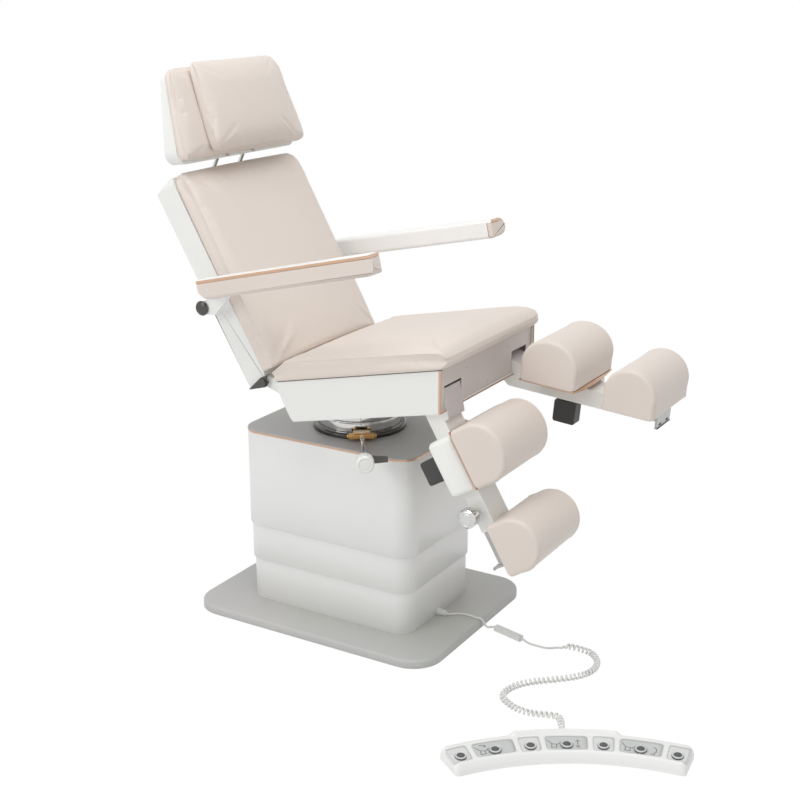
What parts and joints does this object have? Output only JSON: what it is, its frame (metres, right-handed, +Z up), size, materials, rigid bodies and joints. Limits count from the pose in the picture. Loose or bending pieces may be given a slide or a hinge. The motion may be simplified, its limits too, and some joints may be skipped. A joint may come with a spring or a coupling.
{
  "type": "podiatry chair",
  "caption": "Podiatry treatment chair with a lifting swivel column, tilting seat, reclining back, adjustable headrest and arms, two separate leg rests and a corded foot switch.",
  "frame": {"origin": "centre of the floor plate's underside, on the swivel axis", "axes": "+Z up, -Y towards the patient's feet, -X the patient's right"},
  "size_m": [1.018, 1.5927, 1.5109],
  "materials": {
    "base_paint": "satin grey paint",
    "shell_white": "smooth white moulding",
    "panel_mauve": "satin mauve grey",
    "copper_trim": "satin copper",
    "vinyl": "soft beige vinyl",
    "chrome_steel": "polished",
    "bare_steel": "brushed",
    "dark_steel": "dark satin",
    "brass_block": "machined",
    "cable_white": "matte white",
    "button_steel": "domed polished"
  },
  "bodies": {
    "base": {"base_plate": "base_paint", "inner_shell": "shell_white", "lift_guide": "bare_steel", "cable_grommet": "cable_white", "floor_cable": "cable_white", "cable_coupler": "cable_white", "curly_cord": "cable_white", "cord_relief": "cable_white", "foot_switch": "shell_white"},
    "mid_column": {"middle_shell": "shell_white"},
    "lift_column": {"outer_shell": "shell_white", "cover_plate": "base_paint", "column_trim": "copper_trim", "lift_ram": "bare_steel"},
    "turntable": {"turntable_ring": "dark_steel", "swivel_hub": "chrome_steel", "clamp_block": "brass_block", "tilt_saddle": "dark_steel"},
    "brake": {"brake_rod": "chrome_steel", "brake_knob": "shell_white"},
    "seat": {"seat_pan": "shell_white", "front_panel": "panel_mauve", "seat_trim": "copper_trim", "seat_cushion": "vinyl"},
    "back": {"back_shell": "shell_white", "back_cushion": "vinyl", "hinge_plates": "dark_steel"},
    "head_slide": {"head_posts": "chrome_steel"},
    "head": {"head_plate": "shell_white", "head_cushion": "vinyl", "head_pillow": "vinyl"},
    "right_arm": {"right_arm_shell": "shell_white", "right_arm_pad": "vinyl"},
    "right_arm_lock": {"right_arm_knob": "chrome_steel"},
    "right_leg": {"right_leg_beam": "shell_white", "right_leg_cover": "shell_white", "right_leg_tray": "copper_trim", "right_calf_upper": "vinyl"},
    "right_leg_release": {"right_leg_lever": "dark_steel"},
    "right_leg_slide": {"right_leg_carriage": "bare_steel", "right_calf_lower": "vinyl"},
    "right_leg_lock": {"right_leg_knob": "bare_steel"},
    "left_arm": {"left_arm_shell": "shell_white", "left_arm_pad": "vinyl"},
    "left_arm_lock": {"left_arm_knob": "chrome_steel"},
    "left_leg": {"left_leg_beam": "shell_white", "left_leg_cover": "shell_white", "left_leg_tray": "copper_trim", "left_calf_upper": "vinyl"},
    "left_leg_release": {"left_leg_lever": "dark_steel"},
    "left_leg_slide": {"left_leg_carriage": "bare_steel", "left_calf_lower": "vinyl"},
    "left_leg_lock": {"left_leg_knob": "bare_steel"},
    "button_1": {"foot_button_1": "button_steel"},
    "button_2": {"foot_button_2": "button_steel"},
    "button_3": {"foot_button_3": "button_steel"},
    "button_4": {"foot_button_4": "button_steel"},
    "button_5": {"foot_button_5": "button_steel"},
    "button_6": {"foot_button_6": "button_steel"},
    "button_7": {"foot_button_7": "button_steel"}
  },
  "joints": [
    {"name": "column_lift", "type": "slide", "parent": "base", "child": "lift_column", "axis": [0, 0, 1], "range_m": [-0.195, 0]},
    {"name": "middle_lift", "type": "slide", "parent": "base", "child": "mid_column", "axis": [0, 0, 1], "range_m": [-0.0975, 0]},
    {"name": "swivel", "type": "hinge", "parent": "lift_column", "child": "turntable", "pos_m": [0, 0, 0.54], "axis": [0, 0, 1], "range_deg": [-120, 120]},
    {"name": "brake_turn", "type": "hinge", "parent": "turntable", "child": "brake", "pos_m": [0, 0, 0.547], "axis": [-0.8241, -0.5664, 0], "range_deg": [-45, 45]},
    {"name": "seat_tilt", "type": "hinge", "parent": "turntable", "child": "seat", "pos_m": [0, 0, 0.64], "axis": [-1, 0, 0], "range_deg": [0, 8]},
    {"name": "recline", "type": "hinge", "parent": "seat", "child": "back", "pos_m": [0, 0.1436, 0.6977], "axis": [-1, 0, 0], "range_deg": [0, 55]},
    {"name": "head_height", "type": "slide", "parent": "back", "child": "head_slide", "axis": [0, 0.4903, 0.8716], "range_m": [0, 0.08]},
    {"name": "head_tilt", "type": "hinge", "parent": "head_slide", "child": "head", "pos_m": [0, 0.412, 1.26403], "axis": [-1, 0, 0], "range_deg": [-10, 35]},
    {"name": "right_arm_swing", "type": "hinge", "parent": "back", "child": "right_arm", "pos_m": [-0.294, 0.29802, 0.89102], "axis": [-1, 0, 0], "range_deg": [-40, 90]},
    {"name": "right_arm_knob_turn", "type": "hinge", "parent": "right_arm", "child": "right_arm_lock", "pos_m": [-0.3083, 0.29802, 0.89102], "axis": [-1, 0, 0], "range_deg": [-60, 60]},
    {"name": "right_leg_raise", "type": "hinge", "parent": "seat", "child": "right_leg", "pos_m": [-0.1855, -0.381, 0.732], "axis": [-1, 0, 0], "range_deg": [0, 64]},
    {"name": "right_lever_squeeze", "type": "hinge", "parent": "right_leg", "child": "right_leg_release", "pos_m": [-0.207, -0.39061, 0.57532], "axis": [-1, 0, 0], "range_deg": [0, 12]},
    {"name": "right_leg_extend", "type": "slide", "parent": "right_leg", "child": "right_leg_slide", "axis": [0, -0.506, -0.8625], "range_m": [0, 0.1]},
    {"name": "right_lock_turn", "type": "hinge", "parent": "right_leg", "child": "right_leg_lock", "pos_m": [-0.25, -0.48695, 0.44866], "axis": [-1, 0, 0], "range_deg": [-60, 60]},
    {"name": "left_arm_swing", "type": "hinge", "parent": "back", "child": "left_arm", "pos_m": [0.294, 0.29802, 0.89102], "axis": [-1, 0, 0], "range_deg": [-40, 90]},
    {"name": "left_arm_knob_turn", "type": "hinge", "parent": "left_arm", "child": "left_arm_lock", "pos_m": [0.3083, 0.29802, 0.89102], "axis": [1, 0, 0], "range_deg": [-60, 60]},
    {"name": "left_leg_raise", "type": "hinge", "parent": "seat", "child": "left_leg", "pos_m": [0.1855, -0.381, 0.732], "axis": [-1, 0, 0], "range_deg": [-54, 10]},
    {"name": "left_lever_squeeze", "type": "hinge", "parent": "left_leg", "child": "left_leg_release", "pos_m": [0.207, -0.51428, 0.64907], "axis": [-1, 0, 0], "range_deg": [0, 12]},
    {"name": "left_leg_extend", "type": "slide", "parent": "left_leg", "child": "left_leg_slide", "axis": [0, -0.9962, -0.0872], "range_m": [0, 0.1]},
    {"name": "left_lock_turn", "type": "hinge", "parent": "left_leg", "child": "left_leg_lock", "pos_m": [0.25, -0.67333, 0.65423], "axis": [1, 0, 0], "range_deg": [-60, 60]},
    {"name": "press_1", "type": "slide", "parent": "base", "child": "button_1", "axis": [0, 0, -1], "range_m": [0, 0.003], "stiffness_N_per_m": 300, "springref_m": -0.004},
    {"name": "press_2", "type": "slide", "parent": "base", "child": "button_2", "axis": [0, 0, -1], "range_m": [0, 0.003], "stiffness_N_per_m": 300, "springref_m": -0.004},
    {"name": "press_3", "type": "slide", "parent": "base", "child": "button_3", "axis": [0, 0, -1], "range_m": [0, 0.003], "stiffness_N_per_m": 300, "springref_m": -0.004},
    {"name": "press_4", "type": "slide", "parent": "base", "child": "button_4", "axis": [0, 0, -1], "range_m": [0, 0.003], "stiffness_N_per_m": 300, "springref_m": -0.004},
    {"name": "press_5", "type": "slide", "parent": "base", "child": "button_5", "axis": [0, 0, -1], "range_m": [0, 0.003], "stiffness_N_per_m": 300, "springref_m": -0.004},
    {"name": "press_6", "type": "slide", "parent": "base", "child": "button_6", "axis": [0, 0, -1], "range_m": [0, 0.003], "stiffness_N_per_m": 300, "springref_m": -0.004},
    {"name": "press_7", "type": "slide", "parent": "base", "child": "button_7", "axis": [0, 0, -1], "range_m": [0, 0.003], "stiffness_N_per_m": 300, "springref_m": -0.004}
  ],
  "couplings": [
    {"joint": "middle_lift", "follows": "column_lift", "ratio": 0.5}
  ]
}
